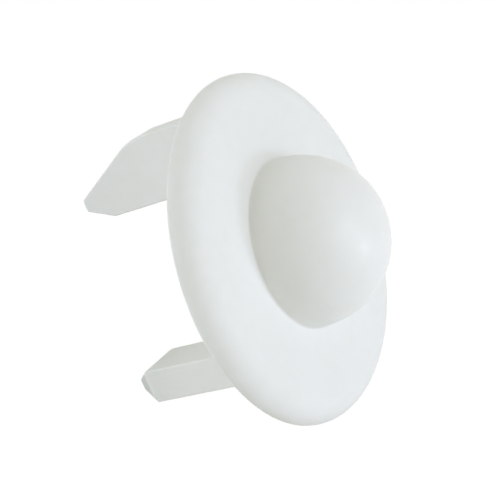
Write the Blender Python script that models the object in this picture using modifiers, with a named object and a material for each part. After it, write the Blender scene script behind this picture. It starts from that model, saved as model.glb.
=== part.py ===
# Safety cover for a three-pin wall socket: one white moulding that fills the socket's holes.
# A round flange lies against the wall plate, a dome on its front is the grip to pull it out by,
# and three rectangular pins on its back plug the holes. The dome is cored out from behind.
# The flange's back face is the plane y = 0, with the origin at its centre. The dome points
# along -Y, the pins along +Y, and the earth pin is uppermost.

import math

import bmesh
import bpy
import numpy as np

# Flange
FLANGE_RADIUS = 0.02085
FLANGE_THICKNESS = 0.0030
RIM_ROUND_WIDTH = 0.0029
BACK_EDGE_RADIUS = 0.0006

# Dome and its core
DOME_RADIUS = 0.01005
DOME_HEIGHT = 0.0103
DOME_FULLNESS = 2.15
DOME_FOOT_RADIUS = 0.00025
DOME_WALL = 0.0022
CORE_MOUTH_RADIUS = 0.0004
CORE_DRAFT_DEGREES = 1.0

# Pin layout: line and neutral side by side, the earth pin above them
LINE_TO_NEUTRAL = 0.0222
EARTH_ABOVE_LINE = 0.0222

# Line and neutral pins, which narrow on all four sides at the tip
POWER_PIN_WIDTH = 0.00635
POWER_PIN_THICKNESS = 0.0040
POWER_PIN_LENGTH = 0.0170
POWER_TIP_LENGTH = 0.0025
POWER_TIP_INSET = 0.00165
POWER_TIP_INSET_THIN = 0.00135
POWER_SHOULDER_RADIUS = 0.0004
POWER_TIP_RADIUS = 0.0005

# Earth pin, whose outer side slopes in so that it opens the socket's shutters
EARTH_PIN_WIDTH = 0.00825
EARTH_PIN_THICKNESS = 0.0040
EARTH_PIN_LENGTH = 0.0229
EARTH_SLOPE_LENGTH = 0.01025
EARTH_SLOPE_DROP = 0.0053
EARTH_KNEE_RADIUS = 0.0083
EARTH_CHAMFER_LENGTH = 0.00385
EARTH_CHAMFER_RISE = 0.0016
EARTH_HEEL_RADIUS = 0.0004
EARTH_NOSE_RADIUS = 0.0005

# Rounding along the pins and where they leave the flange
PIN_EDGE_RADIUS = 0.0005
PIN_ROOT_RADIUS = 0.0005

# Facets, and the small depth that lets a pin's root cut cleanly through the back face
TURNED_STEPS = 88
DOME_SEGMENTS = 14
ROUND_SEGMENTS = 6
EDGE_SEGMENTS = 3
ROOT_SINK = 0.00001
MERGE_DISTANCE = 0.000005
SHARP_ANGLE = math.radians(32)


def clear_scene():
    for old in list(bpy.data.objects):
        bpy.data.objects.remove(old, do_unlink=True)


def new_collection(name):
    collection = bpy.data.collections.new(name)
    bpy.context.scene.collection.children.link(collection)
    return collection


def white_plastic():
    material = bpy.data.materials.new("moulded_white_plastic")
    material.use_nodes = True
    shader = material.node_tree.nodes["Principled BSDF"]
    shader.inputs["Base Color"].default_value = (0.80, 0.82, 0.82, 1.0)
    shader.inputs["Roughness"].default_value = 0.38
    shader.inputs["Metallic"].default_value = 0.0
    return material


def arc(centre, radii, start_degrees, end_degrees, segments):
    """Points along an ellipse's arc, with both of its ends."""
    angles = np.radians(np.linspace(start_degrees, end_degrees, segments + 1))
    across = centre[0] + radii[0] * np.cos(angles)
    up = centre[1] + radii[1] * np.sin(angles)
    return np.column_stack((across, up))


def rounded_path(corners, radii, segments):
    """A path through the corners, with a tangent arc of its own radius at each inner corner."""
    corners = [np.array(corner, float) for corner in corners]
    path = [corners[0]]
    for before, corner, after, radius in zip(corners, corners[1:], corners[2:], radii):
        back = (before - corner) / np.linalg.norm(before - corner)
        onward = (after - corner) / np.linalg.norm(after - corner)
        half_angle = math.acos(float(back @ onward)) / 2
        middle = (back + onward) / np.linalg.norm(back + onward)
        centre = corner + middle * radius / math.sin(half_angle)
        start = corner + back * radius / math.tan(half_angle) - centre
        end = corner + onward * radius / math.tan(half_angle) - centre
        sweep = math.pi - 2 * half_angle
        for share in np.linspace(0, 1, segments + 1):
            turned = math.sin((1 - share) * sweep) * start + math.sin(share * sweep) * end
            path.append(centre + turned / math.sin(sweep))
    path.append(corners[-1])
    return np.array(path)


def dome_curve(radius, height, base, start_angle, end_angle):
    """The dome's outline, (r / radius) ** DOME_FULLNESS + ((z - base) / height) ** 2 = 1."""
    angles = np.linspace(start_angle, end_angle, DOME_SEGMENTS + 1)
    r = radius * np.clip(np.cos(angles), 0, 1) ** (2 / DOME_FULLNESS)
    z = base + height * np.sin(angles)
    r[np.isclose(angles, math.pi / 2)] = 0.0
    return np.column_stack((r, z))


def cover_profile():
    """Half section of flange and dome: down the outer side from the top, then up inside the core."""
    top = math.pi / 2
    foot_angle = math.asin(DOME_FOOT_RADIUS / DOME_HEIGHT)
    outer = dome_curve(DOME_RADIUS, DOME_HEIGHT, FLANGE_THICKNESS, top, foot_angle)
    foot_centre = (outer[-1, 0] + DOME_FOOT_RADIUS, FLANGE_THICKNESS + DOME_FOOT_RADIUS)
    foot = arc(foot_centre, (DOME_FOOT_RADIUS, DOME_FOOT_RADIUS), 180, 270, ROUND_SEGMENTS)

    rim_centre = (FLANGE_RADIUS - RIM_ROUND_WIDTH, BACK_EDGE_RADIUS)
    rim_radii = (RIM_ROUND_WIDTH, FLANGE_THICKNESS - BACK_EDGE_RADIUS)
    rim = arc(rim_centre, rim_radii, 90, 0, ROUND_SEGMENTS + 2)
    back_centre = (FLANGE_RADIUS - BACK_EDGE_RADIUS, BACK_EDGE_RADIUS)
    back_edge = arc(back_centre, (BACK_EDGE_RADIUS, BACK_EDGE_RADIUS), 0, -90, EDGE_SEGMENTS)

    core_radius = DOME_RADIUS - DOME_WALL
    draft = FLANGE_THICKNESS * math.tan(math.radians(CORE_DRAFT_DEGREES))
    mouth_centre = (core_radius + draft + CORE_MOUTH_RADIUS, CORE_MOUTH_RADIUS)
    mouth = arc(mouth_centre, (CORE_MOUTH_RADIUS, CORE_MOUTH_RADIUS), 270, 180, EDGE_SEGMENTS)
    inner = dome_curve(core_radius, DOME_HEIGHT - DOME_WALL, FLANGE_THICKNESS, 0, top)
    return np.vstack((outer, foot[1:], rim, back_edge[1:], mouth, inner))


def turned_cover(collection, material):
    """Flange, dome and core as one profile turned about the cover's axis, its front facing -Y."""
    points = [(r, 0.0, z) for r, z in cover_profile()]
    mesh = bpy.data.meshes.new("socket_cover")
    mesh.from_pydata(points, [(i, i + 1) for i in range(len(points) - 1)], [])
    mesh.materials.append(material)
    cover = bpy.data.objects.new("socket_cover", mesh)
    collection.objects.link(cover)
    cover.rotation_euler = (math.pi / 2, 0.0, 0.0)
    screw = cover.modifiers.new("turn_profile", "SCREW")
    screw.axis = "Z"
    screw.steps = TURNED_STEPS
    screw.render_steps = TURNED_STEPS
    screw.use_merge_vertices = True
    screw.merge_threshold = MERGE_DISTANCE
    screw.use_smooth_shade = True
    return cover


def pin_section(y, x_middle, half_width, z_low, z_high, radius):
    """A round-cornered rectangle across a pin, at the distance y from the wall."""
    radius = min(radius, 0.9 * half_width, 0.45 * (z_high - z_low))
    left, right = x_middle - half_width + radius, x_middle + half_width - radius
    low, high = z_low + radius, z_high - radius
    ring = []
    for centre, start in (((right, high), 0), ((left, high), 90), ((left, low), 180), ((right, low), 270)):
        ring.extend(arc(centre, (radius, radius), start, start + 90, EDGE_SEGMENTS))
    return [(x, y, z) for x, z in ring]


def root_sections(x_middle, half_width, z_low, z_high):
    """A pin's sections inside the flange and through the fillet on its back face."""
    fillet = arc((PIN_ROOT_RADIUS, PIN_ROOT_RADIUS), (PIN_ROOT_RADIUS, PIN_ROOT_RADIUS), 180, 270, EDGE_SEGMENTS)
    stations = [(-FLANGE_THICKNESS / 2, PIN_ROOT_RADIUS)]
    for away, along in fillet[::-1]:
        stations.append((along - ROOT_SINK, away))
    rings = []
    for y, spread in stations:
        radius = PIN_EDGE_RADIUS + spread
        rings.append(pin_section(y, x_middle, half_width + spread, z_low - spread, z_high + spread, radius))
    return rings


def lofted_pin(name, rings, collection):
    """A closed solid through rings of equal point count, capped at both ends."""
    shape = bmesh.new()
    loops = [[shape.verts.new(point) for point in ring] for ring in rings]
    count = len(loops[0])
    for near, far in zip(loops, loops[1:]):
        for i in range(count):
            j = (i + 1) % count
            shape.faces.new((near[i], near[j], far[j], far[i]))
    shape.faces.new(loops[0])
    shape.faces.new(loops[-1])
    bmesh.ops.recalc_face_normals(shape, faces=shape.faces)
    mesh = bpy.data.meshes.new(name)
    shape.to_mesh(mesh)
    shape.free()
    mesh.shade_smooth()
    mesh.set_sharp_from_angle(angle=SHARP_ANGLE)
    pin = bpy.data.objects.new(name, mesh)
    pin.hide_render = True
    pin.display_type = "WIRE"
    collection.objects.link(pin)
    return pin


def power_pin(name, x_middle, z_middle, collection):
    """Line or neutral pin: a flat bar that narrows on all four sides to a small round-edged end."""
    half_width = POWER_PIN_WIDTH / 2
    half_thin = POWER_PIN_THICKNESS / 2
    rings = root_sections(x_middle, half_width, z_middle - half_thin, z_middle + half_thin)
    side = rounded_path(
        [
            (PIN_ROOT_RADIUS, 0),
            (POWER_PIN_LENGTH - POWER_TIP_LENGTH, 0),
            (POWER_PIN_LENGTH, POWER_TIP_INSET),
            (POWER_PIN_LENGTH, half_width),
        ],
        [POWER_SHOULDER_RADIUS, POWER_TIP_RADIUS],
        EDGE_SEGMENTS,
    )
    for y, inset in side[1:-1]:
        depth = half_thin - inset * POWER_TIP_INSET_THIN / POWER_TIP_INSET
        low, high = z_middle - depth, z_middle + depth
        rings.append(pin_section(y, x_middle, half_width - inset, low, high, PIN_EDGE_RADIUS))
    return lofted_pin(name, rings, collection)


def earth_pin(name, z_middle, collection):
    """Earth pin: a longer bar whose outer side bends into a long slope and whose inner side is chamfered."""
    end = EARTH_PIN_LENGTH
    half_thin = EARTH_PIN_THICKNESS / 2
    outer_z = z_middle + EARTH_PIN_WIDTH / 2
    inner_z = z_middle - EARTH_PIN_WIDTH / 2
    nose_high = outer_z - EARTH_SLOPE_DROP
    nose_low = inner_z + EARTH_CHAMFER_RISE
    nose_middle = (nose_high + nose_low) / 2
    outer = rounded_path(
        [(0, outer_z), (end - EARTH_SLOPE_LENGTH, outer_z), (end, nose_high), (end, nose_middle)],
        [EARTH_KNEE_RADIUS, EARTH_NOSE_RADIUS],
        ROUND_SEGMENTS,
    )[:-1]
    inner = rounded_path(
        [(0, inner_z), (end - EARTH_CHAMFER_LENGTH, inner_z), (end, nose_low), (end, nose_middle)],
        [EARTH_HEEL_RADIUS, EARTH_NOSE_RADIUS],
        EDGE_SEGMENTS,
    )[:-1]
    flat = rounded_path([(0, half_thin), (end, half_thin), (end, 0)], [EARTH_NOSE_RADIUS], EDGE_SEGMENTS)[:-1]

    rings = root_sections(0.0, half_thin, inner_z, outer_z)
    stations = np.unique(np.round(np.concatenate((outer[1:, 0], inner[1:, 0], flat[1:, 0])), 5))
    for y in stations:
        low = np.interp(y, inner[:, 0], inner[:, 1])
        high = np.interp(y, outer[:, 0], outer[:, 1])
        half_width = np.interp(y, flat[:, 0], flat[:, 1])
        rings.append(pin_section(y, 0.0, half_width, low, high, PIN_EDGE_RADIUS))
    return lofted_pin(name, rings, collection)


def main():
    clear_scene()
    cover_collection = new_collection("outlet_safety_cover")
    pin_collection = new_collection("pins_to_join")
    cover = turned_cover(cover_collection, white_plastic())

    # The three pins stand on one circle about the cover's axis.
    side_reach = LINE_TO_NEUTRAL / 2
    earth_z = (EARTH_ABOVE_LINE**2 + side_reach**2) / (2 * EARTH_ABOVE_LINE)
    power_z = earth_z - EARTH_ABOVE_LINE
    pins = [
        power_pin("line_pin", side_reach, power_z, pin_collection),
        power_pin("neutral_pin", -side_reach, power_z, pin_collection),
        earth_pin("earth_pin", earth_z, pin_collection),
    ]
    for pin in pins:
        join = cover.modifiers.new("join_" + pin.name, "BOOLEAN")
        join.operation = "UNION"
        join.solver = "EXACT"
        join.object = pin


main()
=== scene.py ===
import math

import bmesh
import bpy
import numpy as np
from mathutils import Matrix, Vector


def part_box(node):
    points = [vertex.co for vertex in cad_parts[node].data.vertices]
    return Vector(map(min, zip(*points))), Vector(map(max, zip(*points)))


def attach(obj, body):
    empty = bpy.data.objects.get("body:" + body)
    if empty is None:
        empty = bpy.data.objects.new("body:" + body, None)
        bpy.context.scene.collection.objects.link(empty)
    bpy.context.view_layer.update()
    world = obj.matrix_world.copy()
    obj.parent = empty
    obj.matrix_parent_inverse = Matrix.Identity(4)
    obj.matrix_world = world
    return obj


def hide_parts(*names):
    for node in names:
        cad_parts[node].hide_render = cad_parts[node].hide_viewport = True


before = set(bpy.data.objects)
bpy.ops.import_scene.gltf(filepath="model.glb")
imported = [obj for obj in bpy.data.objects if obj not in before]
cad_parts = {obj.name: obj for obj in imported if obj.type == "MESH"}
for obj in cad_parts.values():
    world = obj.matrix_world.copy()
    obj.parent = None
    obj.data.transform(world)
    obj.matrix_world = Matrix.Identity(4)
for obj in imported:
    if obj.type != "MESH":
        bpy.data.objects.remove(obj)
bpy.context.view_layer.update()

mm = 0.001
coverLow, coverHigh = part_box("socket_cover")


def linearColour(hexText):
    # sRGB hex to the linear values that shaders take: a dark share is divided by 12.92,
    # and any other is ((share + 0.055) / 1.055) ** 2.4
    parts = np.array([int(hexText[i:i + 2], 16) for i in (1, 3, 5)]) / 255
    linear = np.where(parts <= 0.04045, parts / 12.92, ((parts + 0.055) / 1.055) ** 2.4)
    return (*linear.tolist(), 1.0)


def addNode(tree, kind, inputs=None, **settings):
    # one node with its settings; an input takes a value or another node's output
    node = tree.nodes.new(kind)
    for name, value in settings.items():
        setattr(node, name, value)
    for socket, value in (inputs or {}).items():
        if isinstance(value, bpy.types.NodeSocket):
            tree.links.new(value, node.inputs[socket])
        else:
            node.inputs[socket].default_value = value
    return node


# The moulding

cover = {
    "flangeRadius": coverHigh.x,
    "flangeThickness": 3.0 * mm,
    "rimRoundWidth": 2.9 * mm,
    "backEdgeRadius": 0.6 * mm,
    "domeRadius": 10.05 * mm,
    "domeHeight": 10.3 * mm,
    "domeFullness": 2.15,
    "domeFootRadius": 0.25 * mm,
    "domeWall": 2.2 * mm,
    "coreMouthRadius": 0.4 * mm,
    "coreDraft": math.radians(1.0),
    "partingGroove": 0.03 * mm,  # witness line where the two mould halves meet
    "partingWidth": 0.07 * mm,
    "turnSteps": 288,
    "roundSteps": 12,
    "domeSteps": 40,
    "wideFaceLead": 80,  # how far wide faces lead the shading beside them, 50 being evenly
}

pins = {
    "lineToNeutral": 22.2 * mm,
    "earthAboveLine": 22.2 * mm,
    "edgeRadius": 0.22 * mm,
    "rootRadius": 0.5 * mm,
    "rootDepth": 1.5 * mm,
    "rootSink": 0.01 * mm,  # how deep a fillet's foot lies in the flange, for a clean join
    "cornerSteps": 7,
    "largestCorner": 0.9,  # the share of half a side that a corner's radius may take
    "stationDigits": 5,  # sections of the earth pin lie at hundredths of a millimetre
    "powerWidth": 6.35 * mm,
    "powerThickness": 4.0 * mm,
    "powerLength": 17.0 * mm,
    "powerTipLength": 2.5 * mm,
    "powerTipInset": 1.65 * mm,
    "powerTipInsetThin": 1.35 * mm,
    "powerShoulderRadius": 0.4 * mm,
    "powerTipRadius": 0.5 * mm,
    "earthWidth": 8.25 * mm,
    "earthThickness": 4.0 * mm,
    "earthLength": coverHigh.y,
    "earthSlopeLength": 10.25 * mm,
    "earthSlopeDrop": 5.3 * mm,
    "earthKneeRadius": 8.3 * mm,
    "earthChamferLength": 3.85 * mm,
    "earthChamferRise": 1.6 * mm,
    "earthHeelRadius": 0.4 * mm,
    "earthNoseRadius": 0.5 * mm,
}


def arcPoints(centre, radii, startDegrees, endDegrees, steps):
    # points on an ellipse: centre + radii * (cos a, sin a), a going evenly from start to end
    a = np.radians(np.linspace(startDegrees, endDegrees, steps + 1))
    return np.stack((centre[0] + radii[0] * np.cos(a), centre[1] + radii[1] * np.sin(a)), axis=-1)


def roundedPath(corners, radii, steps):
    # straight runs between the corners, joined by arcs of the given radius tangent to both runs;
    # an arc is centre + (sin((1 - s) * w) * start + sin(s * w) * end) / sin(w) for s from 0 to 1,
    # where w is the angle it sweeps, and start and end point from its centre to its two ends
    corners = np.array(corners, float)
    path = [corners[:1]]
    for before, corner, after, radius in zip(corners, corners[1:], corners[2:], radii):
        back = (before - corner) / np.linalg.norm(before - corner)
        onward = (after - corner) / np.linalg.norm(after - corner)
        halfAngle = math.acos(float(back @ onward)) / 2
        middle = (back + onward) / np.linalg.norm(back + onward)
        centre = corner + middle * radius / math.sin(halfAngle)
        start = corner + back * radius / math.tan(halfAngle) - centre
        end = corner + onward * radius / math.tan(halfAngle) - centre
        sweep = math.pi - 2 * halfAngle
        share = np.linspace(0, 1, steps + 1)[:, None]
        blend = np.sin((1 - share) * sweep) * start + np.sin(share * sweep) * end
        path.append(centre + blend / math.sin(sweep))
    path.append(corners[-1:])
    return np.concatenate(path)


def domeCurve(radius, height, base, startAngle, endAngle):
    # (r / radius) ** fullness + ((h - base) / height) ** 2 = 1, walked by an angle q:
    # r = radius * cos(q) ** (2 / fullness), h = base + height * sin(q)
    q = np.linspace(startAngle, endAngle, cover["domeSteps"] + 1)
    r = radius * np.clip(np.cos(q), 0, 1) ** (2 / cover["domeFullness"])
    return np.stack((r, base + height * np.sin(q)), axis=-1)


def coverProfile():
    # half section as (r, h), h towards the room: dome, foot, flange front, rim, back, core
    c = cover
    t = c["flangeThickness"]
    footAngle = math.asin(c["domeFootRadius"] / c["domeHeight"])
    outer = domeCurve(c["domeRadius"], c["domeHeight"], t, math.pi / 2, footAngle)
    foot = arcPoints((outer[-1, 0] + c["domeFootRadius"], t + c["domeFootRadius"]),
                     (c["domeFootRadius"],) * 2, 180, 270, c["roundSteps"])
    rim = arcPoints((c["flangeRadius"] - c["rimRoundWidth"], c["backEdgeRadius"]),
                    (c["rimRoundWidth"], t - c["backEdgeRadius"]), 90, 0, 2 * c["roundSteps"])
    backEdge = arcPoints((c["flangeRadius"] - c["backEdgeRadius"], c["backEdgeRadius"]),
                         (c["backEdgeRadius"],) * 2, 0, -90, c["roundSteps"])
    coreRadius = c["domeRadius"] - c["domeWall"]
    mouthRadius = coreRadius + t * math.tan(c["coreDraft"])
    mouth = arcPoints((mouthRadius + c["coreMouthRadius"], c["coreMouthRadius"]),
                      (c["coreMouthRadius"],) * 2, 270, 180, c["roundSteps"])
    inner = domeCurve(coreRadius, c["domeHeight"] - c["domeWall"], t, 0, math.pi / 2)
    profile = np.concatenate((outer, foot[1:], rim, backEdge[1:], mouth, inner))
    # parting line: a bell-shaped groove round the rim, depth * exp(-(distance / width) ** 2)
    nearRim = np.exp(-((profile[:, 1] - c["backEdgeRadius"]) / c["partingWidth"]) ** 2)
    nearRim *= profile[:, 0] > c["flangeRadius"] - c["backEdgeRadius"]
    profile[:, 0] -= c["partingGroove"] * nearRim
    return profile


def meshObject(name, points, faces):
    # an object at the origin, with its place in its mesh
    mesh = bpy.data.meshes.new(name)
    mesh.from_pydata(points, [], faces)
    mesh.validate()
    piece = bpy.data.objects.new(name, mesh)
    bpy.context.scene.collection.objects.link(piece)
    return piece


def ringFaces(rings, columns):
    # quads between neighbouring rings of a grid whose columns close on themselves
    i, j = np.meshgrid(np.arange(rings - 1), np.arange(columns), indexing="ij")
    k = (j + 1) % columns
    near, far = i * columns, (i + 1) * columns
    quads = np.stack((near + j, far + j, far + k, near + k), axis=-1)
    return quads.reshape(-1, 4).tolist()


def turnedBody():
    # surface of revolution: (r cos a, -h, r sin a), with one vertex at each pole
    profile = coverProfile()
    ringPart = profile[1:-1]
    columns = cover["turnSteps"]
    a = np.arange(columns) * 2 * math.pi / columns
    r, h = ringPart[:, :1], ringPart[:, 1:]
    grid = np.stack((r * np.cos(a), -h + 0 * a, r * np.sin(a)), axis=-1).reshape(-1, 3)
    poles = np.array([(0, -profile[0, 1], 0), (0, -profile[-1, 1], 0)])
    faces = ringFaces(len(ringPart), columns)
    top, inside = len(grid), len(grid) + 1
    lastRing = (len(ringPart) - 1) * columns
    j = np.arange(columns)
    k = (j + 1) % columns
    faces += np.stack((np.full(columns, top), j, k), axis=-1).tolist()
    faces += np.stack((np.full(columns, inside), lastRing + k, lastRing + j), axis=-1).tolist()
    return meshObject("socketCover", np.concatenate((grid, poles)), faces)


def pinBody(name, xMiddle, stations):
    # a round-cornered rectangle carried along y, each corner a quarter of a circle:
    # a station is (y, half width, z low, z high, corner radius)
    y, halfWidth, low, high, radius = np.array(stations, float).T[:, :, None]
    room = np.minimum(halfWidth, (high - low) / 2)
    radius = np.minimum(radius, pins["largestCorner"] * room)
    perCorner = pins["cornerSteps"] + 1
    a = np.radians(np.concatenate([np.linspace(s, s + 90, perCorner) for s in (0, 90, 180, 270)]))
    xSide = np.repeat([1, -1, -1, 1], perCorner)
    zSide = np.repeat([1, 1, -1, -1], perCorner)
    x = xMiddle + xSide * (halfWidth - radius) + radius * np.cos(a)
    z = np.where(zSide > 0, high - radius, low + radius) + radius * np.sin(a)
    grid = np.stack((x, y + 0 * x, z), axis=-1)
    rings, columns = grid.shape[:2]
    faces = ringFaces(rings, columns)
    faces.append(list(range(columns)))
    faces.append((rings * columns - 1 - np.arange(columns)).tolist())
    return meshObject(name, grid.reshape(-1, 3), faces)


def rootStations(halfWidth, low, high):
    # the part sunk in the flange, then the concave fillet on its back face
    root = pins["rootRadius"]
    fillet = arcPoints((root, root), (root, root), 270, 180, pins["cornerSteps"])
    spread = np.concatenate(([root], fillet[:, 0]))
    y = np.concatenate(([-pins["rootDepth"]], fillet[:, 1] - pins["rootSink"]))
    corner = pins["edgeRadius"] + spread
    return np.stack((y, halfWidth + spread, low - spread, high + spread, corner), axis=-1)


def powerPin(name, xMiddle, zMiddle):
    # a flat bar that narrows on all four sides to a small end
    p = pins
    halfWidth, halfThin = p["powerWidth"] / 2, p["powerThickness"] / 2
    side = roundedPath(
        [(p["rootRadius"], 0), (p["powerLength"] - p["powerTipLength"], 0),
         (p["powerLength"], p["powerTipInset"]), (p["powerLength"], halfWidth)],
        [p["powerShoulderRadius"], p["powerTipRadius"]], p["cornerSteps"])[1:-1]
    y, inset = side.T
    depth = halfThin - inset * p["powerTipInsetThin"] / p["powerTipInset"]
    edge = np.full(len(y), p["edgeRadius"])
    bar = np.stack((y, halfWidth - inset, zMiddle - depth, zMiddle + depth, edge), axis=-1)
    root = rootStations(halfWidth, zMiddle - halfThin, zMiddle + halfThin)
    return pinBody(name, xMiddle, np.concatenate((root, bar)))


def earthPin(name, zMiddle):
    # a longer bar whose outer side bends into a long slope and whose inner side is chamfered
    p = pins
    end = p["earthLength"]
    halfThin = p["earthThickness"] / 2
    outerZ, innerZ = zMiddle + p["earthWidth"] / 2, zMiddle - p["earthWidth"] / 2
    noseHigh, noseLow = outerZ - p["earthSlopeDrop"], innerZ + p["earthChamferRise"]
    noseMiddle = (end, (noseHigh + noseLow) / 2)
    knee = (end - p["earthSlopeLength"], outerZ)
    heel = (end - p["earthChamferLength"], innerZ)
    nose = p["earthNoseRadius"]
    steps = 2 * p["cornerSteps"]
    outer = roundedPath([(0, outerZ), knee, (end, noseHigh), noseMiddle],
                        [p["earthKneeRadius"], nose], steps)[:-1]
    inner = roundedPath([(0, innerZ), heel, (end, noseLow), noseMiddle],
                        [p["earthHeelRadius"], nose], steps)[:-1]
    flat = roundedPath([(0, halfThin), (end, halfThin), (end, 0)], [nose], steps)[:-1]
    y = np.concatenate((outer[1:, 0], inner[1:, 0], flat[1:, 0]))
    y = np.unique(np.round(y, p["stationDigits"]))
    low, high = np.interp(y, *inner.T), np.interp(y, *outer.T)
    edge = np.full(len(y), p["edgeRadius"])
    bar = np.stack((y, np.interp(y, *flat.T), low, high, edge), axis=-1)
    root = rootStations(halfThin, innerZ, outerZ)
    return pinBody(name, 0.0, np.concatenate((root, bar)))


def buildCover():
    # the turned body and the three pins, joined to one closed skin;
    # the cover's middle lies equally far from all three pins
    body = turnedBody()
    sideReach = pins["lineToNeutral"] / 2
    earthZ = (pins["earthAboveLine"] ** 2 + sideReach ** 2) / (2 * pins["earthAboveLine"])
    powerZ = earthZ - pins["earthAboveLine"]
    loosePins = [
        powerPin("linePin", sideReach, powerZ),
        powerPin("neutralPin", -sideReach, powerZ),
        earthPin("earthPin", earthZ),
    ]
    for piece in [body] + loosePins:
        shape = bmesh.new()
        shape.from_mesh(piece.data)
        bmesh.ops.recalc_face_normals(shape, faces=shape.faces)
        shape.to_mesh(piece.data)
        shape.free()
    for pin in loosePins:
        join = body.modifiers.new("join_" + pin.name, "BOOLEAN")
        join.operation = "UNION"
        join.solver = "EXACT"
        join.object = pin
    bpy.context.view_layer.update()
    united = body.evaluated_get(bpy.context.evaluated_depsgraph_get())
    joined = bpy.data.meshes.new_from_object(united)
    body.modifiers.clear()
    body.data = joined
    for pin in loosePins:
        bpy.data.objects.remove(pin)
    joined.shade_smooth()
    flatten = body.modifiers.new("keep_flats_flat", "WEIGHTED_NORMAL")
    flatten.mode = "FACE_AREA_WITH_ANGLE"
    flatten.weight = cover["wideFaceLead"]
    return body


# Satin polypropylene, injection moulded: milky and slightly see-through at thin edges, with the
# fine spark-eroded grain of the mould, faint flow marks and a grip that fingers have polished;
# the pins carry painted shade, a grey that darkens them towards their ends

plastic = {
    "milkWhite": "#EEEEE9",
    "flowWhite": "#ECECE6",
    # the grey of the painted shade on the pins' ends
    "pinShadeGrey": "#B4BAB2",
    "flowSize": 7.0 * mm,
    "flowDetail": 4.0,
    "flowRoughness": 0.55,
    "flowDistortion": 0.6,
    "cloudSize": 1.6 * mm,
    "cloudDetail": 2.0,
    "cloudRange": (0.15, 0.40),  # where the clouds start and where they are full
    "grainSize": 0.22 * mm,  # the mould's own grain is finer, and is drawn as coarse as it shows
    "grainDepth": 0.0025 * mm,
    "grainDetail": 2.0,
    "waveSize": 4.0 * mm,
    "waveDepth": 0.006 * mm,
    "waveDetail": 1.0,
    "roughLow": 0.50,
    "roughHigh": 0.60,
    "handledRange": (0.3, 0.7),  # the part of the noise that takes roughness from low to high
    "handledDetail": 5.0,
    "handledRoughness": 0.6,
    "gripRoughness": 0.28,  # below 0.274 the denoiser draws a ring where the polish is full
    "gripFrom": 3.5 * mm,  # how far out from the wall the polish starts, and where it is full
    "gripFull": 7.5 * mm,
    "refraction": 1.49,
    "specularLevel": 0.2,
    "scatterDepth": 0.35 * mm,
    "scatterWeight": 0.3,
    "scatterReach": (1.0, 0.95, 0.85),  # of red, green and blue light, which warms thin edges
    # where the painted shade's grey starts, where it is full, both from the back of the flange, and
    # its share there
    "powerFade": (8.0 * mm, 14.5 * mm, 0.16),
    "powerEnd": (14.3 * mm, 15.6 * mm, 0.55),
    "earthFade": (8.0 * mm, 22.9 * mm, 0.10),
    "earthPinFrom": 6.0 * mm,  # above this height only the earth pin is met
    "streakLength": 3.0 * mm,
    "streakWidth": 0.35 * mm,
    "streakDetail": 2.0,
    "streakRange": (0.25, 0.75),
    "streakShare": (0.75, 1.1),
}


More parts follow.
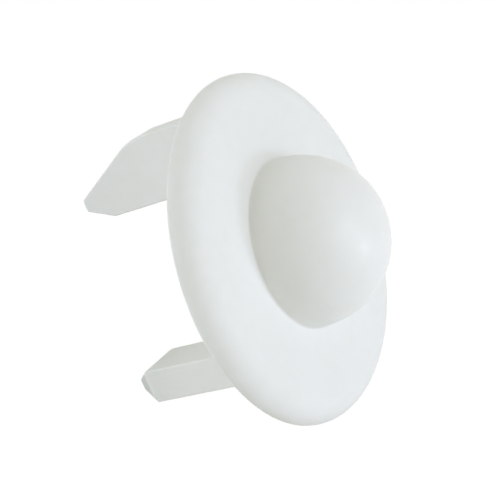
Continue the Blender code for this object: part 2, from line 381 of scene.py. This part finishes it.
def mouldedPolypropylene():
    p = plastic
    material = bpy.data.materials.new("mouldedPolypropylene")
    material.use_nodes = True
    tree = material.node_tree
    tree.nodes.clear()
    place = addNode(tree, "ShaderNodeTexCoord").outputs["Object"]
    axes = addNode(tree, "ShaderNodeSeparateXYZ", {"Vector": place}).outputs

    # flow marks: broad clouds of a slightly greyer white, broken up by a finer noise
    fine = addNode(tree, "ShaderNodeTexNoise", {
        "Vector": place, "Scale": 1 / p["cloudSize"], "Detail": p["cloudDetail"]})
    flow = addNode(tree, "ShaderNodeTexNoise", {
        "Vector": place, "Scale": 1 / p["flowSize"], "Detail": p["flowDetail"],
        "Roughness": p["flowRoughness"], "Distortion": p["flowDistortion"]})
    clouds = addNode(tree, "ShaderNodeMath", {
        0: flow.outputs["Fac"], 1: fine.outputs["Fac"]}, operation="MULTIPLY")
    share = addNode(tree, "ShaderNodeMapRange", {
        "Value": clouds.outputs[0], "From Min": p["cloudRange"][0], "From Max": p["cloudRange"][1]})
    moulded = addNode(tree, "ShaderNodeMix", {
        0: share.outputs[0], 6: linearColour(p["milkWhite"]),
        7: linearColour(p["flowWhite"])}, data_type="RGBA")

    # painted shade: grey that darkens the pins towards their ends, in streaks along them
    streakScale = (1 / p["streakWidth"], 1 / p["streakLength"], 1 / p["streakWidth"])
    along = addNode(tree, "ShaderNodeMapping", {"Vector": place, "Scale": streakScale})
    streaks = addNode(tree, "ShaderNodeTexNoise", {
        "Vector": along.outputs[0], "Scale": 1.0, "Detail": p["streakDetail"]})
    uneven = addNode(tree, "ShaderNodeMapRange", {
        "Value": streaks.outputs["Fac"],
        "From Min": p["streakRange"][0], "From Max": p["streakRange"][1],
        "To Min": p["streakShare"][0], "To Max": p["streakShare"][1]})
    onEarth = addNode(tree, "ShaderNodeMath", {
        0: axes["Z"], 1: p["earthPinFrom"]}, operation="GREATER_THAN")
    fades = []
    for start, full, most in (p["powerFade"], p["powerEnd"], p["earthFade"]):
        fade = addNode(tree, "ShaderNodeMapRange", {
            "Value": axes["Y"], "From Min": start, "From Max": full, "To Max": most},
            interpolation_type="SMOOTHSTEP")
        fades.append(fade.outputs[0])
    onPower = addNode(tree, "ShaderNodeMath", {0: fades[0], 1: fades[1]}, operation="ADD")
    end = addNode(tree, "ShaderNodeMix", {
        0: onEarth.outputs[0], 2: onPower.outputs[0], 3: fades[2]})
    paintedPinShade = addNode(tree, "ShaderNodeMath", {
        0: end.outputs[0], 1: uneven.outputs[0]}, operation="MULTIPLY", use_clamp=True)
    # the painted shade of the pins, mixed into the plastic's colour
    base = addNode(tree, "ShaderNodeMix", {
        0: paintedPinShade.outputs[0], 6: moulded.outputs[2],
        7: linearColour(p["pinShadeGrey"])}, data_type="RGBA")

    # roughness: the grain's own sheen, uneven where it was handled, and smoother over the grip
    handled = addNode(tree, "ShaderNodeTexNoise", {
        "Vector": place, "Scale": 1 / p["waveSize"], "Detail": p["handledDetail"],
        "Roughness": p["handledRoughness"]})
    grained = addNode(tree, "ShaderNodeMapRange", {
        "Value": handled.outputs["Fac"],
        "From Min": p["handledRange"][0], "From Max": p["handledRange"][1],
        "To Min": p["roughLow"], "To Max": p["roughHigh"]})
    grip = addNode(tree, "ShaderNodeMapRange", {
        "Value": axes["Y"], "From Min": -p["gripFrom"], "From Max": -p["gripFull"]},
        interpolation_type="SMOOTHSTEP")
    rough = addNode(tree, "ShaderNodeMix", {
        0: grip.outputs[0], 2: grained.outputs[0], 3: p["gripRoughness"]})

    # relief: soft waviness from cooling and the mould's fine grain
    wave = addNode(tree, "ShaderNodeTexNoise", {
        "Vector": place, "Scale": 1 / p["waveSize"], "Detail": p["waveDetail"]})
    waveBump = addNode(tree, "ShaderNodeBump", {
        "Height": wave.outputs["Fac"], "Distance": p["waveDepth"], "Strength": 1.0})
    grain = addNode(tree, "ShaderNodeTexNoise", {
        "Vector": place, "Scale": 1 / p["grainSize"], "Detail": p["grainDetail"]})
    grainBump = addNode(tree, "ShaderNodeBump", {
        "Height": grain.outputs["Fac"], "Distance": p["grainDepth"], "Strength": 1.0,
        "Normal": waveBump.outputs["Normal"]})

    shader = addNode(tree, "ShaderNodeBsdfPrincipled", {
        "Base Color": base.outputs[2], "Roughness": rough.outputs[0],
        "IOR": p["refraction"], "Specular IOR Level": p["specularLevel"],
        "Subsurface Weight": p["scatterWeight"], "Subsurface Radius": p["scatterReach"],
        "Subsurface Scale": p["scatterDepth"], "Normal": grainBump.outputs["Normal"]})
    addNode(tree, "ShaderNodeOutputMaterial", {"Surface": shader.outputs[0]})
    return material


# Floor, room and lamps

studio = {
    "floorDrop": 280 * mm,  # how far the floor lies below the part, which a wall holds up in use
    "floorSize": 4.0,
    "floorColour": "#F4F5F5",
    "floorGlow": 1.14,
    "glowShare": 0.85,  # with the paper's own share under the lamps this comes to plain white
    "roomColour": "#FFFCD6",
    "roomLight": 0.346,
    "lampColour": "#E0E7FF",
    "lampDistance": 300 * mm,
    "lampPower": 0.9,  # watts at which one lamp alone shows a white that faces it as it is written
    "lamps": {
        # azimuth and elevation in degrees, width, share of the light
        "lowKey": (20, -26, 60 * mm, 0.150),
        "frontFill": (0, 0, 180 * mm, 0.425),
        "lowFill": (0, -27, 300 * mm, 0.210),
        "rightTop": (45, 54, 300 * mm, 0.154),
        "leftTop": (-90, 54, 300 * mm, 0.139),
        "leftLow": (-90, -27, 300 * mm, 0.151),
        "rearTop": (-135, 54, 300 * mm, 0.319),
        "rearLevel": (-135, 0, 300 * mm, 0.356),
    },
}


def seenDirectly(tree):
    # 1 for rays from the camera, a mirror or glass, 0 for the rays that light the part
    path = addNode(tree, "ShaderNodeLightPath")
    first = addNode(tree, "ShaderNodeMath", {
        0: path.outputs["Is Camera Ray"], 1: path.outputs["Is Glossy Ray"]}, operation="MAXIMUM")
    both = addNode(tree, "ShaderNodeMath", {
        0: first.outputs[0], 1: path.outputs["Is Transmission Ray"]}, operation="MAXIMUM")
    return both.outputs[0]


def paleFloor():
    # a square of white paper far below the part, which looks white wherever it is seen directly
    z = coverLow.z - studio["floorDrop"]
    reach = studio["floorSize"] / 2
    corners = [(-reach, -reach, z), (reach, -reach, z), (reach, reach, z), (-reach, reach, z)]
    floor = meshObject("paleFloor", corners, [[0, 1, 2, 3]])
    material = bpy.data.materials.new("whitePaperFloor")
    material.use_nodes = True
    tree = material.node_tree
    tree.nodes.clear()
    paper = addNode(tree, "ShaderNodeBsdfDiffuse", {"Color": linearColour(studio["floorColour"])})
    glow = addNode(tree, "ShaderNodeEmission", {"Strength": studio["floorGlow"]})
    share = addNode(tree, "ShaderNodeMath", {
        0: seenDirectly(tree), 1: studio["glowShare"]}, operation="MULTIPLY")
    both = addNode(tree, "ShaderNodeMixShader", {
        0: share.outputs[0], 1: paper.outputs[0], 2: glow.outputs[0]})
    addNode(tree, "ShaderNodeOutputMaterial", {"Surface": both.outputs[0]})
    floor.data.materials.append(material)


def whiteRoom():
    # soft light from all round, and plain white behind the part
    world = bpy.data.worlds.new("whiteRoom")
    world.use_nodes = True
    tree = world.node_tree
    tree.nodes.clear()
    soft = addNode(tree, "ShaderNodeBackground", {
        "Color": linearColour(studio["roomColour"]), "Strength": studio["roomLight"]})
    white = addNode(tree, "ShaderNodeBackground", {"Color": (1, 1, 1, 1), "Strength": 1.0})
    pick = addNode(tree, "ShaderNodeMixShader", {
        0: seenDirectly(tree), 1: soft.outputs[0], 2: white.outputs[0]})
    addNode(tree, "ShaderNodeOutputWorld", {"Surface": pick.outputs[0]})
    bpy.context.scene.world = world


def softLamps():
    # round lamps on a sphere about the part, each turned to its middle
    for name, (azimuth, elevation, width, share) in studio["lamps"].items():
        a, e = math.radians(azimuth), math.radians(elevation)
        direction = Vector((math.sin(a) * math.cos(e), -math.cos(a) * math.cos(e), math.sin(e)))
        lamp = bpy.data.lights.new(name, "AREA")
        lamp.shape = "DISK"
        lamp.size = width
        lamp.energy = studio["lampPower"] * share
        lamp.color = linearColour(studio["lampColour"])[:3]
        piece = bpy.data.objects.new(name, lamp)
        piece.location = direction * studio["lampDistance"]
        piece.rotation_euler = direction.to_track_quat("Z", "Y").to_euler()
        bpy.context.scene.collection.objects.link(piece)


# Camera, solved from the outline in the photograph

view = {
    "azimuth": math.radians(-55.239),
    "elevation": math.radians(12.043),
    "roll": math.radians(-23.453),
    "distance": 154.597 * mm,
    "slideRight": 3.505 * mm,  # how far right of the picture's middle the part lies, and below
    "slideDown": -0.236 * mm,
    "focalPixels": 1326.374,
    "photoPixels": 500,
    "sensorWidth": 36.0,
    "nearest": 1 * mm,
    "farthest": 10.0,
}


def photoCamera():
    # looks back along azimuth and elevation, is rolled about that line, then slides across it
    a, e, roll = view["azimuth"], view["elevation"], view["roll"]
    back = Vector((math.sin(a) * math.cos(e), -math.cos(a) * math.cos(e), math.sin(e)))
    level = (-back).cross(Vector((0, 0, 1))).normalized()
    raised = level.cross(-back)
    right = math.cos(roll) * level + math.sin(roll) * raised
    up = math.cos(roll) * raised - math.sin(roll) * level
    data = bpy.data.cameras.new("photoCamera")
    data.sensor_width = view["sensorWidth"]
    data.lens = view["focalPixels"] * data.sensor_width / view["photoPixels"]
    data.clip_start = view["nearest"]
    data.clip_end = view["farthest"]
    camera = bpy.data.objects.new("photoCamera", data)
    spot = back * view["distance"] - right * view["slideRight"] + up * view["slideDown"]
    camera.matrix_world = Matrix.Translation(spot) @ Matrix((right, up, back)).transposed().to_4x4()
    bpy.context.scene.collection.objects.link(camera)
    bpy.context.scene.camera = camera


photoCamera()
print("camera placed")
moulding = buildCover()
moulding.data.materials.clear()
moulding.data.materials.append(mouldedPolypropylene())
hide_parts("socket_cover")
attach(moulding, "root")
print("moulding made,", len(moulding.data.polygons), "faces")
paleFloor()
whiteRoom()
softLamps()
bpy.context.scene.view_settings.view_transform = "Standard"
print("floor, room and lamps placed")
